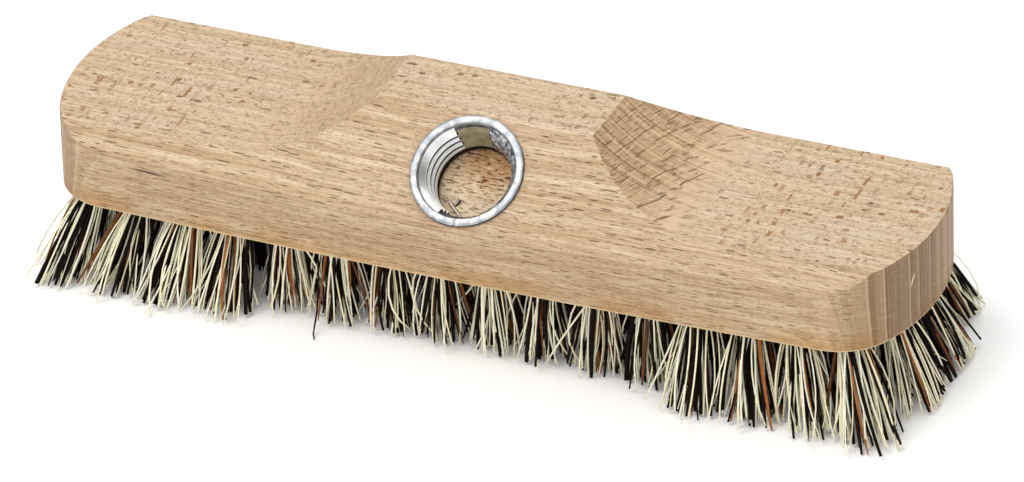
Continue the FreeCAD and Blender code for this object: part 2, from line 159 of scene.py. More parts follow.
class Nodes:
    """Short ways to build a material's node tree."""

    def __init__(self, name):
        self.material = bpy.data.materials.new(name)
        self.material.use_nodes = True
        self.tree = self.material.node_tree
        self.shader = self.tree.nodes["Principled BSDF"]

    def add(self, kind, **settings):
        """New node with some of its properties set."""
        node = self.tree.nodes.new(kind)
        for key, value in settings.items():
            setattr(node, key, value)
        return node

    def feed(self, socket, value):
        """Links a socket or sets a constant on an input."""
        if isinstance(value, bpy.types.NodeSocket):
            self.tree.links.new(value, socket)
        else:
            socket.default_value = value

    def math(self, operation, first, second=0.0, clamp=False):
        node = self.add("ShaderNodeMath", operation=operation, use_clamp=clamp)
        self.feed(node.inputs[0], first)
        self.feed(node.inputs[1], second)
        return node.outputs[0]

    def plus(self, first, second, clamp=False):
        return self.math("ADD", first, second, clamp)

    def minus(self, first, second):
        return self.math("SUBTRACT", first, second)

    def times(self, first, *others):
        """Product of two or more values."""
        for other in others:
            first = self.math("MULTIPLY", first, other)
        return first

    def over(self, first, second):
        return self.math("DIVIDE", first, second)

    def unsigned(self, value):
        """The value without its sign."""
        return self.math("ABSOLUTE", value)

    def vector(self, operation, first, second=(0, 0, 0)):
        node = self.add("ShaderNodeVectorMath", operation=operation)
        self.feed(node.inputs[0], first)
        self.feed(node.inputs[1], second)
        return node.outputs[0]

    def parts(self, vector):
        node = self.add("ShaderNodeSeparateXYZ")
        self.feed(node.inputs[0], vector)
        return node.outputs

    def join(self, x, y, z):
        node = self.add("ShaderNodeCombineXYZ")
        for socket, value in zip(node.inputs, (x, y, z)):
            self.feed(socket, value)
        return node.outputs[0]

    def measure(self, operation, vector, other=(0, 0, 0)):
        """One number out of vectors: their LENGTH, DISTANCE or DOT_PRODUCT."""
        node = self.add("ShaderNodeVectorMath", operation=operation)
        self.feed(node.inputs[0], vector)
        self.feed(node.inputs[1], other)
        return node.outputs["Value"]

    def stretch(self, place, sizes):
        """Place with each axis divided by a size, to stretch a pattern along it."""
        return self.join(*(self.over(value, size) for value, size in zip(place, sizes)))

    def place(self):
        """Position on the object in millimetres."""
        node = self.add("ShaderNodeTexCoord")
        return self.vector("MULTIPLY", node.outputs["Object"], (1 / MM,) * 3)

    def noise(self, vector, scale, detail, roughness=0.5, offset=(0, 0, 0)):
        node = self.add("ShaderNodeTexNoise")
        self.feed(node.inputs["Vector"], self.vector("ADD", vector, offset))
        self.feed(node.inputs["Scale"], scale)
        self.feed(node.inputs["Detail"], detail)
        self.feed(node.inputs["Roughness"], roughness)
        return node.outputs["Fac"]

    def step(self, value, low, high):
        """Smooth rise from 0 at low to 1 at high; falls if low is above high."""
        node = self.add("ShaderNodeMapRange", interpolation_type="SMOOTHSTEP")
        self.feed(node.inputs["Value"], value)
        self.feed(node.inputs["From Min"], min(low, high))
        self.feed(node.inputs["From Max"], max(low, high))
        self.feed(node.inputs["To Min"], 0.0 if low < high else 1.0)
        self.feed(node.inputs["To Max"], 1.0 if low < high else 0.0)
        return node.outputs["Result"]

    def mix(self, share, first, second, blend="MIX"):
        node = self.add("ShaderNodeMix", data_type="RGBA", blend_type=blend)
        self.feed(node.inputs["Factor"], share)
        self.feed(node.inputs["A"], first)
        self.feed(node.inputs["B"], second)
        return node.outputs["Result"]

    def bump(self, height, distance, strength):
        node = self.add("ShaderNodeBump")
        self.feed(node.inputs["Height"], height)
        self.feed(node.inputs["Distance"], distance)
        self.feed(node.inputs["Strength"], strength)
        self.feed(self.shader.inputs["Normal"], node.outputs["Normal"])

    def finish(self, colour, roughness, **constants):
        self.feed(self.shader.inputs["Base Color"], colour)
        self.feed(self.shader.inputs["Roughness"], roughness)
        for key, value in constants.items():
            self.shader.inputs[key.replace("_", " ")].default_value = value
        return self.material


def rgb(red, green, blue):
    """Colour of a surface, given as it looks on a screen from 0 to 255."""
    def linear(level):
        level /= 255
        return level / 12.92 if level <= 0.04045 else ((level + 0.055) / 1.055) ** 2.4

    return (linear(red), linear(green), linear(blue), 1.0)


# ---------------------------------------------------------------- materials


def floor_material():
    """Nearly white floor, faintly cloudy."""
    n = Nodes("studio_floor")
    cloud = n.noise(n.place(), 0.004, 2.0)
    colour = n.mix(cloud, rgb(250, 250, 250), rgb(253, 253, 253))
    n.shader.inputs["Emission Color"].default_value = (1, 1, 1, 1)
    return n.finish(colour, 0.6, Emission_Strength=0.06, Specular_IOR_Level=0.2)


# tones of the faces along the grain, and of what lies on them
WOOD_PALE = rgb(214, 191, 160)
WOOD_MID = rgb(192, 164, 131)
WOOD_SHEEN = rgb(211, 192, 170)
WOOD_GRAIN = rgb(240, 222, 194)
WOOD_STREAK = rgb(150, 117, 80)
WOOD_PORE = rgb(118, 84, 52)
WOOD_LATE = rgb(148, 111, 73)
WOOD_RAY = rgb(84, 55, 29)
WOOD_FLECK = rgb(136, 94, 46)
WOOD_BLOCK = rgb(150, 108, 60)
WOOD_SPECK = rgb(92, 60, 28)
CRACK_DARK = rgb(70, 42, 26)
EDGE_PALE = rgb(226, 204, 158)

# tints that whole faces are multiplied by: low down, and as painted shade in front and where they lie
# level
WOOD_GOLDEN = rgb(244, 220, 172)
WOOD_FRONT_SHADE = rgb(245, 243, 241)
WOOD_LEVEL_SHADE = rgb(249, 248, 246)

# tones of the faces across the grain: shallow and steep part of a scoop, tip of the block
SHALLOW_PALE = rgb(206, 177, 146)
SHALLOW_DARK = rgb(176, 145, 112)
WALL_PALE = rgb(184, 152, 117)
WALL_DARK = rgb(124, 92, 58)
# the tip's tones are end grain, and are darkened further as painted shade on the end faces
SHADED_TIP_PALE = rgb(168, 138, 106)
SHADED_TIP_DARK = rgb(100, 71, 42)
END_LINE = rgb(214, 188, 150)
END_THIN = rgb(104, 74, 42)
END_CHECK = rgb(84, 54, 28)
NICK_PALE = rgb(236, 210, 168)

# growth rings, in millimetres: where their pith is, and how thick they are
PITH_BEHIND = 262.0
PITH_HEIGHT = 30.0
BROAD_RING = 4.4
FINE_RING = 1.5
SAWN_RING = 5.2
CHECK_SPACING = 1.9

# places where a look starts and where it is full: along the block from its middle, or upwards
LEFT_SIDE = (-10.0, -30.0)
SCOOPS = (100.0, 90.0)
CHECKS = (84.0, 70.0)
RIGHT_BLOCKS = (48.0, 74.0)
LEFT_BLOCKS = (-60.0, -82.0)
GOLDEN_HEIGHT = (28.5, 22.5)
LOW_EDGE = (0.6, 0.25)
# where across the block the tip is darkest, and how far from there
TIP_MIDDLE = -9.0
TIP_BAND = (14.0, 5.0)

# streaks: length, thickness, noise level where they start and end, shift, detail
BROAD_STREAKS = (70.0, 1.5, 0.34, 0.66, 5.0, 3.0)
STREAKS = (13.0, 0.3, 0.4, 0.68)
PORES = (1.3, 0.24, 0.56, 0.7, 9.0)

# fine lines: size along the block, across it and upwards, shift
RIPPLES = ((1.5, 0.8, 1.2), 3.0)
RING_LINES = ((90.0, 0.36, 90.0), 5.0)
RAY_LINES = ((16.0, 4.0, 0.3), 8.0)

# spots: spacing and half size along, across and upwards, shift, square, raggedness
DASHES = ((3.3, 2.6, 0.95), (1.9, 2.0, 0.14), 0.0)
SHORT_DASHES = ((2.0, 1.8, 0.66), (0.9, 1.1, 0.1), 31.0)
FLECKS = ((3.8, 4.0, 1.5), (0.85, 0.95, 0.8), 12.0, False, 0.7)
MARKS = ((4.2, 3.0, 1.3), (1.25, 0.5, 0.6), 77.0, False, 0.5)
SPECKS = ((0.95, 0.8, 0.6), (0.33, 0.24, 0.3), 47.0)
BLOCKS = ((4.4, 6.0, 1.5), (0.62, 1.9, 0.8), 5.0, True, 1.0)

# middle and half size of the crack in the front face and the nick in the right end
CRACK = ((-78.5, -32.0, 34.85), (6.5, 4.0, 0.42))
CRACK_SAG = 0.03
NICK = ((108.5, -12.7, 34.4), (3.0, 0.42, 2.0))
NICK_SLANT = 0.45


def wave(n, x, other, scales, amount, axis):
    """Slow wandering of the grain about 0, by up to half the amount; other goes on the given axis."""
    parts = [n.times(x, scales[0]), 0.0, 0.0]
    parts[axis] = n.times(other, scales[1])
    return n.times(n.minus(n.noise(n.join(*parts), 1.0, 1.0), 0.5), amount)


def beech_coordinates(n):
    """(x, y, z) of the block in millimetres, and the same with the wandering of the grain."""
    x, y, z = n.parts(n.place())
    wander = wave(n, x, y, (0.011, 0.015), 6.0, 1)
    ripple = wave(n, x, z, (0.06, 0.05), 1.2, 2)
    # the rings and rays lean a little in the block
    leaning = n.plus(y, n.times(z, 0.06))
    across = n.plus(leaning, n.plus(wander, ripple))
    rising = n.plus(z, n.times(y, 0.13))
    up = n.plus(rising, n.times(wander, 0.4))
    return (x, y, z), (x, across, up)


def growth_rings(n, across, up, thickness):
    """(thin line at each ring's end, darkening towards it) about a pith far behind the block."""
    from_pith = n.minus(PITH_BEHIND, across)
    height = n.minus(up, PITH_HEIGHT)
    radius = n.math("SQRT", n.plus(n.times(from_pith, from_pith), n.times(height, height)))
    uneven = n.noise(n.join(0.0, 0.0, n.times(radius, 0.45 / thickness)), 1.0, 1.0)
    ring = n.math("FRACT", n.plus(n.over(radius, thickness), n.times(uneven, 2.4)))
    line = n.times(n.step(ring, 0.0, 0.04), n.step(ring, 0.16, 0.07))
    late = n.times(n.math("POWER", ring, 2.2), n.step(ring, 1.0, 0.985))
    return line, late


def spots(n, place, spacing, half_size, shift, square=False, fuzz=0.0):
    """Scattered spots, one near each cell of a stretched grid, with their strength.

    They are lens-shaped, or blocks if square is set, and fuzz makes their outline ragged.
    """
    scaled = n.vector("ADD", n.stretch(place, spacing), (shift, shift * 0.7, shift * 0.3))
    cells = n.add("ShaderNodeTexVoronoi", feature="F1")
    n.feed(cells.inputs["Vector"], scaled)
    n.feed(cells.inputs["Scale"], 1.0)
    offset = n.vector("SUBTRACT", scaled, cells.outputs["Position"])
    own = n.parts(cells.outputs["Color"])
    offset = n.vector("MULTIPLY", offset, [step / half for step, half in zip(spacing, half_size)])
    # some spots are long and narrow, others short and wide
    shape = n.plus(0.6, n.times(own[2], 0.9))
    offset = n.vector("MULTIPLY", offset, n.join(shape, n.over(1.0, shape), 1.0))
    if square:
        sides = n.parts(n.vector("ABSOLUTE", offset))
        reach = n.math("MAXIMUM", n.math("MAXIMUM", sides[0], sides[1]), sides[2])
    else:
        reach = n.measure("LENGTH", offset)
    largest = n.plus(0.25, n.times(n.math("POWER", own[0], 1.4), 0.9))
    ratio = n.over(reach, largest)
    if fuzz:
        rough = n.noise(n.join(*place), 1.3, 3.0)
        ratio = n.plus(ratio, n.times(n.minus(rough, 0.5), fuzz))
    strength = n.plus(0.25, n.times(own[1], 0.75))
    return n.times(n.step(ratio, 1.0, 0.75), strength)


def end_checks(n, x, y, up):
    """Thin drying cracks that run across the end grain of the scoops, along the rays."""
    bend = n.noise(n.join(n.times(x, 0.03), n.times(y, 0.08), n.times(up, 0.03)), 1.0, 2.0, 0.4)
    level = n.plus(n.over(up, CHECK_SPACING), n.times(bend, 0.9))
    level = n.minus(level, n.times(n.unsigned(x), 0.03))
    from_line = n.unsigned(n.minus(n.math("FRACT", level), 0.5))
    number = n.math("FLOOR", level)
    patch = n.noise(n.join(n.times(y, 0.12), n.times(number, 7.3), 4.0), 1.0, 1.0)
    broken = n.step(patch, 0.5, 0.56)
    # they are faint in the left scoop, and fade out towards the tip of the right one
    left = n.step(x, *LEFT_SIDE)
    inside = n.minus(n.plus(n.step(x, *CHECKS), left), n.times(left, 1.8))
    return n.times(n.step(from_line, 0.045, 0.025), broken, inside)


def along_grain(n, place, length, thickness, low, high, shift=0.0, detail=2.0):
    """Streaks along the block of a given length and thickness, sharpened to 0 or 1."""
    stretched = n.stretch(place, (length, thickness, thickness))
    value = n.noise(stretched, 1.0, detail, 0.55, (shift, shift * 0.6, shift * 0.2))
    return n.step(value, low, high)


def thin_lines(n, place, sizes, shift):
    """(pale, dark) fine lines out of a noise stretched to the given sizes."""
    stretched = n.stretch(place, sizes)
    value = n.noise(stretched, 1.0, 2.0, 0.6, (shift, shift * 0.6, shift * 0.2))
    return n.step(value, 0.56, 0.66), n.step(value, 0.44, 0.35)


def paint(n, colour, layers):
    """Lays tints over a colour in turn, each with the share that it covers."""
    for share, tint in layers:
        colour = n.mix(share, colour, tint)
    return colour


def long_faces(n, place, level, beside):
    """Colour of the faces along the grain, their relief, and the mask of their streaks."""
    x, across, up = place
    broad = along_grain(n, place, *BROAD_STREAKS)
    streaks = along_grain(n, place, *STREAKS)
    pores = along_grain(n, place, *PORES)
    sheen = n.noise(n.join(n.times(x, 0.03), n.times(across, 0.1), 0.0), 1.0, 2.0)
    _, late = growth_rings(n, across, up, BROAD_RING)
    _, thin_late = growth_rings(n, across, up, FINE_RING)
    dashes = spots(n, place, *DASHES)
    near_ends = n.plus(n.step(x, *RIGHT_BLOCKS), n.step(x, *LEFT_BLOCKS))
    blocks = n.times(spots(n, place, *BLOCKS), near_ends)
    crowd = n.noise(n.join(n.times(x, 0.045), n.times(across, 0.07), 0.0), 1.0, 1.0)
    flecks = n.times(spots(n, place, *FLECKS), n.step(crowd, 0.37, 0.47))
    ripple_pale, ripple_dark = thin_lines(n, place, *RIPPLES)

    # the level faces are more even and calmer than the upright ones
    even = n.minus(1.0, n.times(level, 0.4))
    calm = n.minus(1.0, n.times(level, 0.62))
    colour = n.mix(n.times(broad, even), WOOD_PALE, WOOD_MID)
    colour = paint(n, colour, (
        (n.times(n.step(sheen, 0.42, 0.66), n.times(level, 0.6)), WOOD_SHEEN),
        (n.times(streaks, calm, 0.52), WOOD_STREAK),
        (n.times(pores, calm, 0.5), WOOD_PORE),
        (n.times(ripple_dark, level, 0.5), WOOD_PORE),
        (n.times(ripple_pale, level, 0.25), WOOD_GRAIN),
        (n.times(late, 0.3), WOOD_LATE),
        (n.times(thin_late, 0.22), WOOD_LATE),
        (n.times(spots(n, place, *SHORT_DASHES), beside, 0.7), WOOD_RAY),
        (n.times(dashes, beside, 0.95), WOOD_RAY),
        (n.times(spots(n, place, *SPECKS), level, 0.7), WOOD_SPECK),
        (n.times(spots(n, place, *MARKS), level, 0.9), WOOD_SPECK),
        (n.times(flecks, level), WOOD_FLECK),
        (n.times(blocks, level), WOOD_BLOCK),
    ))
    hollow = n.times(dashes, beside, 0.4)
    relief = n.plus(n.times(n.plus(streaks, pores), 0.3), hollow)
    return colour, relief, streaks


def sawn_faces(n, place, scoop, steep):
    """Colour of the faces across the grain: bands of rings, crossed by fine lines along the rays."""
    _, across, up = place
    ring_edge, late = growth_rings(n, across, up, SAWN_RING)
    thin_edge, thin_late = growth_rings(n, across, up, FINE_RING)
    ring_pale, ring_dark = thin_lines(n, place, *RING_LINES)
    ray_pale, ray_dark = thin_lines(n, place, *RAY_LINES)
    tip = n.minus(1.0, scoop)
    # on the tip, the tones carry painted shade on the end faces
    pale = n.mix(scoop, SHADED_TIP_PALE, n.mix(steep, SHALLOW_PALE, WALL_PALE))
    dark = n.mix(scoop, SHADED_TIP_DARK, n.mix(steep, SHALLOW_DARK, WALL_DARK))
    fine = n.plus(0.22, n.times(scoop, 0.46))
    middle = n.step(n.unsigned(n.minus(across, TIP_MIDDLE)), *TIP_BAND)
    return paint(n, pale, (
        (n.times(late, n.plus(0.3, n.times(tip, 0.45))), dark),
        (n.times(thin_late, 0.35), dark),
        (n.times(middle, tip, 0.42), dark),
        (n.times(thin_edge, scoop, 0.45), END_LINE),
        (n.times(ring_pale, fine), END_LINE),
        (n.times(ring_dark, fine), END_THIN),
        (n.times(ray_pale, n.times(fine, 0.6)), END_LINE),
        (n.times(ray_dark, fine), END_THIN),
        (n.times(ring_edge, tip, 0.24), END_LINE),
    ))


def beech_nodes(name):
    """Node tree of solid beech, with its colour, its relief and the mask of its streaks.

    Growth rings stand upright along the block, and rays run across it. So the side faces show
    the rays as short dashes, the level faces show them as flecks, and the faces sawn across
    show rings as bands with fine lines over them.
    """
    n = Nodes(name)
    (x, y, z), place = beech_coordinates(n)
    normal = n.parts(n.add("ShaderNodeNewGeometry").outputs["Normal"])
    level = n.step(normal[2], 0.82, 0.93)
    beside = n.minus(1.0, level)
    scoop = n.step(n.unsigned(x), *SCOOPS)
    facing_end = n.unsigned(normal[0])
    # the wall of the left scoop shows its end grain less than that of the right one
    smooth_side = n.minus(1.0, n.times(n.step(x, *LEFT_SIDE), 0.5))
    wall = n.times(n.step(facing_end, 0.01, 0.2), smooth_side)
    end = n.mix(scoop, n.step(facing_end, 0.15, 0.85), wall)

    colour, relief, streaks = long_faces(n, place, level, beside)
    # painted shade: the front faces and the level faces are darkened a little
    front = n.step(n.unsigned(normal[1]), 0.8, 0.97)
    colour = n.mix(front, colour, WOOD_FRONT_SHADE, "MULTIPLY")
    colour = n.mix(level, colour, WOOD_LEVEL_SHADE, "MULTIPLY")
    colour = n.mix(end, colour, sawn_faces(n, place, scoop, n.step(facing_end, 0.1, 0.42)))
    cloud = n.noise(n.join(x, y, z), 0.07, 2.0)
    golden = n.times(n.step(z, *GOLDEN_HEIGHT), n.step(cloud, 0.35, 0.6))
    colour = n.mix(n.times(golden, 0.75), colour, WOOD_GOLDEN, "MULTIPLY")
    checks = n.times(end_checks(n, x, y, place[2]), n.step(facing_end, 0.05, 0.25))
    low_edge = n.minus(z, UNDERSIDE / MM)
    colour = paint(n, colour, (
        (n.times(checks, 0.8), END_CHECK),
        (n.times(n.step(low_edge, *LOW_EDGE), 0.65), EDGE_PALE),
    ))
    height = n.minus(n.times(relief, -1.0), n.times(checks, 0.6))
    return n, colour, height, streaks


def lens_mask(n, place, middle, half_size, edge):
    """1 inside a small ellipsoid of the block, 0 outside; it fades from edge outwards."""
    offset = n.vector("SUBTRACT", place, middle)
    reach = n.measure("LENGTH", n.vector("MULTIPLY", offset, [1 / half for half in half_size]))
    return n.step(reach, 1.0, edge)


def beech_material():
    """Sanded beech of the block, with one short crack and one nick."""
    n, colour, height, streaks = beech_nodes("beech")
    x, y, z = n.parts(n.place())
    sag = n.times(n.minus(x, CRACK[0][0]), CRACK_SAG)
    crack = lens_mask(n, n.join(x, y, n.plus(z, sag)), *CRACK, 0.35)
    slant = n.times(n.minus(z, NICK[0][2]), NICK_SLANT)
    nick = lens_mask(n, n.join(x, n.minus(y, slant), z), *NICK, 0.4)
    colour = paint(n, colour, ((n.times(crack, 0.9), CRACK_DARK), (nick, NICK_PALE)))
    n.bump(n.minus(height, crack), 0.12 * MM, 0.8)
    roughness = n.plus(0.5, n.times(streaks, 0.12))
    return n.finish(colour, roughness, Specular_IOR_Level=0.3)


def from_socket_point(n, clock, radius, height):
    """Distance in millimetres from a point of the socket."""
    return n.measure("DISTANCE", n.place(), tuple(socket_point(clock, radius, height) / MM))


def torn_beech_material():
    """Rough wood at the bottom of the bore, torn by the drill: browner behind, with painted shadow
    dark round its edge under the shell's lip.
    """
    n = Nodes("torn_beech")
    place = n.place()
    torn = n.noise(n.stretch(n.parts(place), (1.9, 0.42, 0.42)), 1.0, 4.0, 0.6)
    stain = n.times(n.minus(n.noise(place, 0.3, 3.0), 0.5), 9.0)
    brown = n.step(n.plus(from_socket_point(n, 15, 9.0, -FLOOR_DEPTH), stain), 16.0, 3.0)
    # painted shadow under the shell's lip round the edge of the floor
    rim = n.step(from_socket_point(n, 130, 0.2, -FLOOR_DEPTH), 9.5, 10.1)
    colour = n.mix(brown, rgb(252, 228, 194), rgb(196, 150, 104))
    colour = paint(n, colour, (
        (n.times(n.step(torn, 0.51, 0.62), n.plus(0.7, n.times(brown, 0.28))), rgb(84, 50, 26)),
        (n.times(n.step(torn, 0.44, 0.34), 0.65), rgb(246, 224, 192)),
        (n.times(rim, 0.93), rgb(24, 14, 8)),
    ))
    n.bump(torn, 0.5 * MM, 0.9)
    return n.finish(colour, 0.75, Specular_IOR_Level=0.2)


def zinc_material(look, dark, bright, roughness, relief, size, metal):
    """Bright zinc plating with faint mottling; one look gets painted shade where the rim shelters it.
    """
    n = Nodes("zinc_" + look)
    place = n.place()
    mottle = n.noise(place, size, 4.0, 0.65)
    grain = n.noise(place, 5.0, 2.0)
    colour = n.mix(n.step(mottle, 0.35, 0.65), dark, bright)
    if look == "rim_shaded":
        # painted shade under the rim, fading out within a few millimetres
        rim_shade = n.step(from_socket_point(n, 258, 11.7, 0.2), 6.5, 1.0)
        colour = n.mix(rim_shade, colour, rgb(150, 152, 149))
    rough = n.plus(roughness, n.times(n.step(grain, 0.3, 0.7), 0.15))
    n.bump(n.plus(mottle, n.times(grain, 0.25)), relief * MM, 0.8)
    return n.finish(colour, rough, Metallic=metal)


def wire_material():
    """Wire with a painted highlight along the side that faces out of the bore, and painted shade on
    its other sides.
    """
    n = Nodes("wire_painted_light")
    stain = n.noise(n.place(), 1.6, 3.0)
    normal = n.add("ShaderNodeNewGeometry").outputs["Normal"]
    # painted highlight on the side facing out of the bore, painted shade on the rest
    lit_side = n.step(n.measure("DOT_PRODUCT", normal, tuple(SOCKET_AXIS)), 0.7, 0.9)
    pale = n.mix(stain, rgb(246, 214, 186), rgb(255, 250, 240))
    colour = n.mix(lit_side, rgb(34, 18, 11), pale)
    roughness = n.plus(0.35, n.times(stain, 0.25))
    n.bump(stain, 0.02 * MM, 0.4)
    return n.finish(colour, roughness, Metallic=0.1)


def fibre_material(name, pale, deep, roughness, gloss, streaked=0.35):
    """Stiff plant fibre: each has its own tone, and runs darker and lighter along its length."""
    n = Nodes(name)
    own = n.add("ShaderNodeNewGeometry").outputs["Random Per Island"]
    x, y, z = n.parts(n.place())
    streak = n.noise(n.join(n.times(x, 2.5), n.times(y, 2.5), n.times(z, 0.25)), 1.0, 2.0)
    share = n.plus(n.times(own, 0.5), n.times(streak, streaked), clamp=True)
    colour = n.mix(share, pale, deep)
    n.bump(streak, 0.05 * MM, 0.5)
    rough = n.plus(roughness, n.times(streak, 0.15))
    return n.finish(colour, rough, Specular_IOR_Level=gloss)


# ---------------------------------------------------------------- socket


SOCKET_AXIS = Vector(frame["record"]["mounts"][0]["axis"]).normalized()
SOCKET_MOUNT = Vector(frame["record"]["mounts"][0]["pos_m"])
MOUNT_DEPTH = 5.4 * MM
SOCKET_UP = Vector((0, SOCKET_AXIS.z, -SOCKET_AXIS.y))
SOCKET_SIDE = SOCKET_UP.cross(SOCKET_AXIS)
SOCKET_CENTRE = SOCKET_MOUNT + SOCKET_AXIS * MOUNT_DEPTH
CLOCK_STEPS = 360

# clock angle from the top, clockwise as seen from outside, in degrees
THREADED_ARCS = ((198, 329), (10, 149))
ARC_EDGE = 2.0
NOTCH_ARC = 4.5
NOTCH_SLANT = 0.55
NOTCH_HALF = 0.5
RIM_SEAM = 176.0
SEAM_ARC = 1.6
# how much the seam pulls in the outer part of the rim and flattens it, and where that part starts
SEAM_PINCH = 0.25
SEAM_FLATTENING = 0.2
OUTER_RIM = 13.2

# width of the painted shadow in the groove under a ridge on the right, and on the left near the seam
# and up from it
RIGHT_GROOVE_SHADOW = 0.5
LEFT_GROOVE_SHADOW = (0.3, 0.85)
LEFT_WIDENING = (232, 252)

# how far the ridges climb along an arc, and the share of a half turn that they do it in
THREAD_CLIMB = 0.45
CLIMB_SHARE = 0.77

# profile of the shell in millimetres, from under the rim down the bore and up the outside:
# radius, depth below the slope, and for the bore what kind of face ends there
# painted shadow lies on the rim's inner crease and in each groove under a thread flank
RIM_INSIDE = ((11.95, -0.3, "rim"), (11.88, -0.12, "groove"), (11.7, 0.1, "under_rim"))
# the painted shadow line under each thread flank
THREAD_LINES = ((10.4, 1.7), (9.98, 3.65), (9.62, 5.75))
LIP = ((9.55, 7.55, "flank"), (9.5, 7.85, "lip"), (9.6, 8.0, "lip"), (10.4, 8.5, "lip"))
SHELL_OUTSIDE = ((10.8, 9.0), (11.0, 9.0), (11.0, 1.8), (12.3, 0.02), (13.75, 0.02), (13.98, -0.12))
RIM_ROLL = (
    (14.0, -0.5), (13.9, -0.78), (13.65, -0.95), (13.2, -1.0),
    (12.7, -1.0), (12.25, -0.93), (12.0, -0.65),
)
MOUTH_RADIUS = 11.75
LEAD_IN_DEPTH = 1.8
# each row of the wall lies at least this far below the one before
ROW_GAP = 0.03


def held(value):
    """The value, but no less than 0 and no more than 1."""
    return max(0.0, min(1.0, value))


def socket_point(clock, radius, height):
    """Point at a clock angle in degrees, a radius and a height over the slope in millimetres."""
    angle = math.radians(clock)
    sideways = SOCKET_SIDE * math.sin(angle) + SOCKET_UP * math.cos(angle)
    return SOCKET_CENTRE + sideways * (radius * MM) + SOCKET_AXIS * (height * MM)


def inside_arc(clock):
    """How many degrees a clock angle is from the nearer end of its threaded arc; negative outside."""
    return max(min(clock - first, last - clock) for first, last in THREADED_ARCS)


def thread_share(clock):
    """1 where the thread ridges are rolled in, 0 on the plain parts between them."""
    return held(inside_arc(clock) / ARC_EDGE)


def groove_width(clock):
    """Width of the painted shadow in the groove under each ridge: thin near the seam of the rim."""
    if clock <= 180:
        return RIGHT_GROOVE_SHADOW
    first, last = LEFT_WIDENING
    thin, wide = LEFT_GROOVE_SHADOW
    return thin + (wide - thin) * held((clock - first) / (last - first))


def thread_rise(clock):
    """How far a ridge has climbed towards the rim: it climbs along each arc and drops back between."""
    turn = (clock - THREADED_ARCS[1][0]) % 180 / 180
    if turn < CLIMB_SHARE:
        return THREAD_CLIMB * (1 - turn / CLIMB_SHARE)
    return THREAD_CLIMB * (turn - CLIMB_SHARE) / (1 - CLIMB_SHARE)


def plain_radius(depth):
    """Bore radius where no thread is rolled in: a lead-in cone, then a slight taper."""
    cone = min(depth, LEAD_IN_DEPTH)
    return MOUTH_RADIUS - 0.58 * cone - 0.19 * (depth - cone)


def in_notch_shadow(clock, drop):
    """True in the dark notch, a painted shadow that slants over each ridge near the ends of its arc.
    """
    inside = inside_arc(clock)
    return 0 < inside < NOTCH_ARC and abs(drop + 1.0 - NOTCH_SLANT * inside) < NOTCH_HALF


def wall_profile(clock):
    """Bore wall below the rim as (radius, depth, kind): bright flanks with painted shadow in the
    grooves between.
    """
    share = thread_share(clock)
    rise = thread_rise(clock)
    width = groove_width(clock)
    points = list(RIM_INSIDE)
    for turn, (radius, depth) in enumerate(THREAD_LINES):
        # the first ridge starts right under the rim
        upper, lower = ("flank", "flank") if turn else ("under_rim", "first_flank")
        ridge = (
            (0.78, -1.0, upper),
            (0.44, -0.55, lower),
            (0.1, -0.12, lower),
            (0.0, 0.0, "flank"),
            # painted shadow in the groove under the ridge
            (0.02, width, "groove"),
            (0.3, width + 0.12, "groove"),
        )
        for over, drop, kind in ridge:
            level = max(points[-1][1] + ROW_GAP, depth - rise + drop)
            # a painted shadow slants over the ridge near each end of its arc
            if in_notch_shadow(clock, drop):
                kind = "notch"
            points.append(((radius + over) * share + plain_radius(level) * (1 - share), level, kind))
    return points + list(LIP)


def zinc_look(kind, clock):
    """Which of the zinc looks a face of the shell gets."""
    threaded = thread_share(clock) == 1.0
    upper_half = clock < 90 or clock > 270
    arc_look = "rim_shaded" if clock > 180 else "scuffed"
    if kind in ("rim", "shade"):
        return kind
    if kind == "notch":
        return "groove"
    if kind == "under_rim":
        return arc_look if threaded else "shade"
    if not threaded:
        return "plain" if upper_half else "shade"
    if kind == "first_flank":
        return arc_look
    if kind == "groove":
        return "groove"
    return "scuffed" if clock < 175 else kind


# darker and lighter tone, roughness, relief in millimetres, how fine the mottling is, how metallic
ZINC_LOOKS = {
    "plain": (rgb(146, 138, 110), rgb(178, 170, 140), 0.5, 0.02, 0.25, 0.5),
    "scuffed": (rgb(66, 72, 80), rgb(236, 238, 240), 0.25, 0.3, 0.85, 0.9),
    # painted shadow in the grooves, the notches and the rim's inner crease
    "groove": (rgb(12, 12, 13), rgb(34, 34, 35), 0.5, 0.03, 0.8, 0.6),
    "rim": (rgb(150, 154, 161), rgb(201, 202, 200), 0.42, 0.035, 0.35, 0.9),
    "flank": (rgb(232, 234, 232), rgb(255, 255, 254), 0.4, 0.03, 0.3, 0.15),
    # flank tones with painted shade under the rim on the left arc
    "rim_shaded": (rgb(232, 234, 232), rgb(255, 255, 254), 0.4, 0.03, 0.3, 0.15),
    "shade": (rgb(64, 66, 70), rgb(104, 106, 108), 0.45, 0.03, 0.5, 0.8),
    "lip": (rgb(170, 168, 160), rgb(226, 224, 216), 0.35, 0.03, 0.6, 0.5),
}
ZINC_SLOTS = {look: slot for slot, look in enumerate(ZINC_LOOKS)}


def shell_ring(clock, wall):
    """Points of the shell at one clock angle; the rim is a little wavy, and pinched at its seam."""
    seam = max(0.0, 1 - abs(clock - RIM_SEAM) / SEAM_ARC)
    dent = 0.03 * math.sin(math.radians(5 * clock + 40)) + 0.02 * math.sin(math.radians(11 * clock))
    profile = [(radius, depth) for radius, depth, _ in wall] + list(SHELL_OUTSIDE)
    for radius, depth in RIM_ROLL:
        pinch = SEAM_PINCH * seam if radius > OUTER_RIM else 0.0
        profile.append((radius - pinch, depth * (1 - SEAM_FLATTENING * seam + dent)))
    return [socket_point(clock, radius, -depth) for radius, depth in profile]


